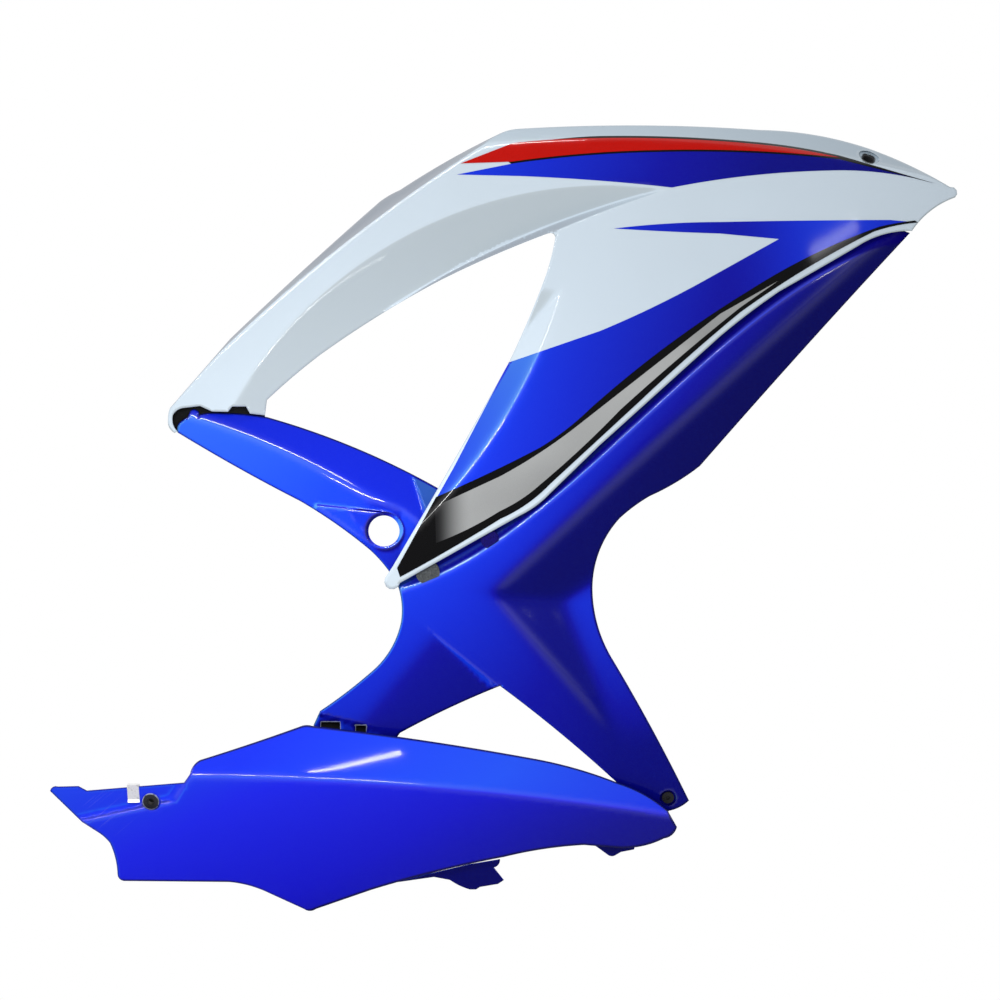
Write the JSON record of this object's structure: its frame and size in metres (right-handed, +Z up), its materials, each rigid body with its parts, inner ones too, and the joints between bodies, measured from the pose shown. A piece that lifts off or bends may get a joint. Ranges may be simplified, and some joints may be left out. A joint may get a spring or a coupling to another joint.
{
  "type": "motorcycle side fairing",
  "caption": "Right-hand side fairing of a sport motorcycle: moulded upper, middle and belly panels that overlap at seams, with screws, pads and colour bands.",
  "frame": {"origin": "centre of the frame hole in the middle panel's rear arm, on the outer face of its flat", "axes": "+X towards the front wheel, +Y inboard, +Z up"},
  "size_m": [0.9073, 0.1316, 0.7856],
  "materials": {
    "white_panel": "white paint under clear coat",
    "blue_panel": "metallic blue paint under clear coat",
    "blue_film": "metallic blue under clear coat",
    "black_film": "gloss black under clear coat",
    "red_film": "gloss red under clear coat",
    "silver_film": "metallic silver under clear coat",
    "felt": "dark grey felt",
    "foam": "closed-cell black foam",
    "zinc_steel": "zinc plated",
    "black_steel": "black oxide",
    "spring_steel": "bright plated",
    "black_rubber": "moulded rubber"
  },
  "bodies": {
    "root": {"upper_panel": "white_panel", "mid_panel": "blue_panel", "belly_panel": "blue_panel", "blue_field": "blue_film", "red_stripe_border": "black_film", "red_stripe": "red_film", "blue_spear": "blue_film", "seam_band_border": "black_film", "seam_band": "silver_film", "rear_felt_pad": "felt", "front_felt_pad": "felt", "tail_pad": "foam", "seam_screws": "zinc_steel", "leg_screw": "black_steel", "leg_clip_nut": "zinc_steel", "rear_grommet": "black_rubber", "rear_collar": "zinc_steel", "rear_spring_clip": "spring_steel"}
  },
  "joints": []
}
